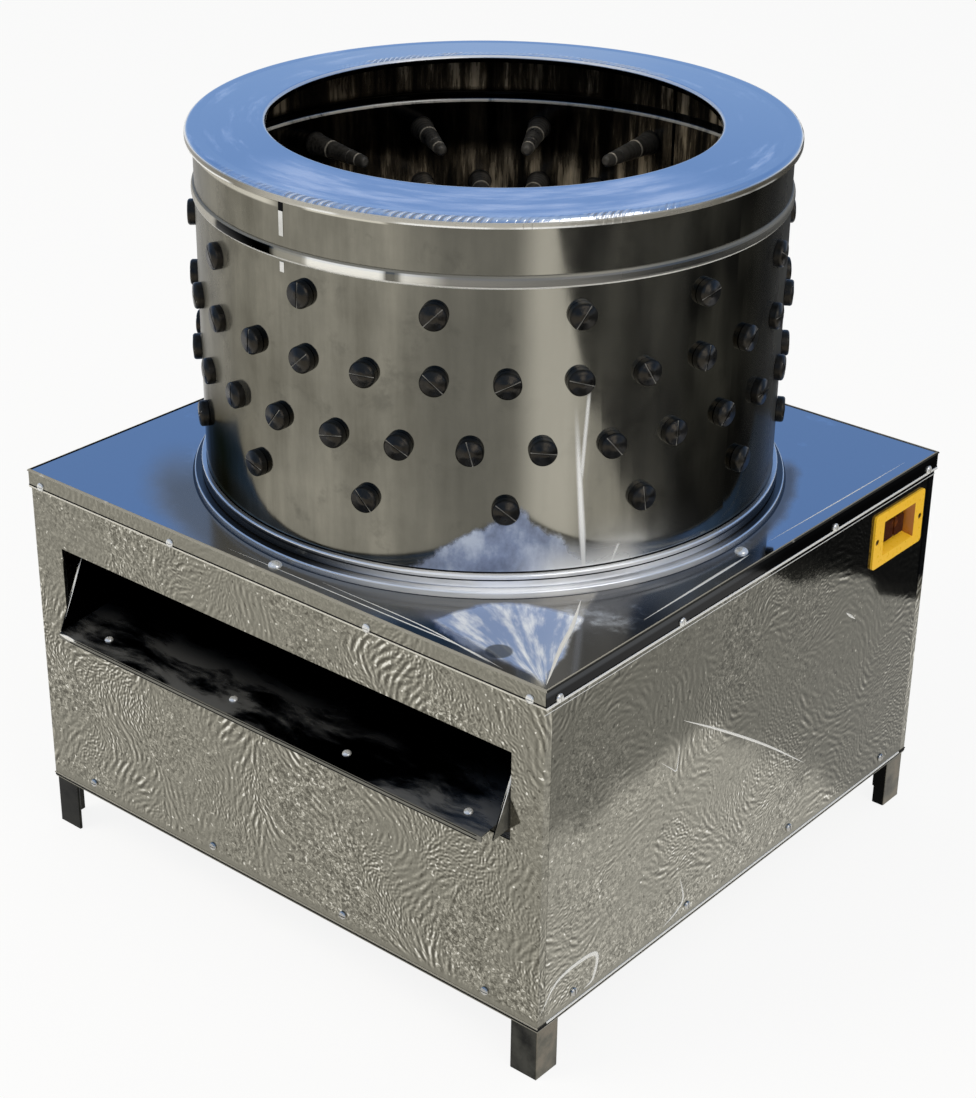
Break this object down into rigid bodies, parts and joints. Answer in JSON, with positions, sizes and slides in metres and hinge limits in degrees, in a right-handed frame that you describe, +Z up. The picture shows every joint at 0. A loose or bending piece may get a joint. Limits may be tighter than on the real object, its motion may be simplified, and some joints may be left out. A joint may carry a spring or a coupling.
{
  "type": "drum poultry plucker",
  "caption": "Drum poultry plucker: open finger-lined steel drum with a motor-driven finger plate, on a square sheet-steel cabinet with angle legs, a front feather chute and a side switch.",
  "frame": {"origin": "on the floor, under the drum axis", "axes": "+X towards the switch side, -Y towards the feather chute, +Z up"},
  "size_m": [0.648, 0.662, 0.75],
  "materials": {
    "polished_steel": "polished stainless sheet with a wavy mirror",
    "frame_steel": "dull dark mild steel",
    "fastener": "bright plated",
    "black_rubber": "matt moulded rubber",
    "switch_yellow": "moulded, slightly glossy",
    "button_black": "glossy moulded",
    "black_plastic": "moulded matt",
    "motor_paint": "grey-blue machine enamel",
    "cast_iron": "machined casting",
    "ground_steel": "turned and ground"
  },
  "bodies": {
    "chassis": {"leg_front_left": "frame_steel", "leg_front_right": "frame_steel", "leg_rear_left": "frame_steel", "leg_rear_right": "frame_steel", "top_rails": "frame_steel", "lower_rails": "frame_steel", "front_panel": "polished_steel", "rear_panel": "polished_steel", "left_panel": "polished_steel", "right_panel": "polished_steel", "lid": "polished_steel", "skirt_screws": "fastener", "panel_screws": "fastener", "lid_bolts": "fastener", "drum_shell": "polished_steel", "foot_ring": "polished_steel", "rim_ring": "polished_steel", "wall_fingers_row_1": "black_rubber", "wall_fingers_row_2": "black_rubber", "wall_fingers_row_3": "black_rubber", "wall_fingers_row_4": "black_rubber", "chute_floor": "polished_steel", "chute_cheek_left": "polished_steel", "chute_cheek_right": "polished_steel", "chute_back": "polished_steel", "chute_bracket": "frame_steel", "chute_screws": "fastener", "shaft_collar": "polished_steel", "bearing_beams": "frame_steel", "bearing_plate": "frame_steel", "bearing_housing": "cast_iron", "ball_bearings": "ground_steel", "housing_bolts": "fastener", "switch_bezel": "switch_yellow", "switch_box": "black_plastic", "bezel_screws": "fastener", "cable_gland": "black_plastic", "motor_lead": "black_rubber", "motor_plate": "frame_steel", "motor_flange": "motor_paint", "motor_body": "motor_paint", "motor_fan_cover": "motor_paint", "terminal_box": "motor_paint", "motor_bolts": "fastener", "v_belt": "black_rubber"},
    "turntable": {"main_shaft": "ground_steel", "turntable_hub": "cast_iron", "turntable_disc": "polished_steel", "disc_bolts": "fastener", "centre_cap": "fastener", "disc_fingers": "black_rubber", "sweep_paddles": "polished_steel", "drive_pulley": "cast_iron", "pulley_bolt": "fastener"},
    "rotor": {"motor_rotor": "ground_steel", "motor_pulley": "cast_iron", "motor_fan": "black_plastic"},
    "start_button": {"on_button": "button_black"},
    "stop_button": {"off_button": "button_black"}
  },
  "joints": [
    {"name": "turntable_spin", "type": "hinge", "parent": "chassis", "child": "turntable", "pos_m": [0, 0, 0.39], "axis": [0, 0, 1], "continuous": true},
    {"name": "rotor_spin", "type": "hinge", "parent": "chassis", "child": "rotor", "pos_m": [-0.15, 0.178, 0.17], "axis": [0, 0, 1], "continuous": true},
    {"name": "start_press", "type": "slide", "parent": "chassis", "child": "start_button", "axis": [-1, 0, 0], "range_m": [0, 0.003], "stiffness_N_per_m": 400},
    {"name": "stop_press", "type": "slide", "parent": "chassis", "child": "stop_button", "axis": [-1, 0, 0], "range_m": [0, 0.003], "stiffness_N_per_m": 400}
  ],
  "couplings": [
    {"joint": "rotor_spin", "follows": "turntable_spin", "ratio": 4.5593}
  ]
}
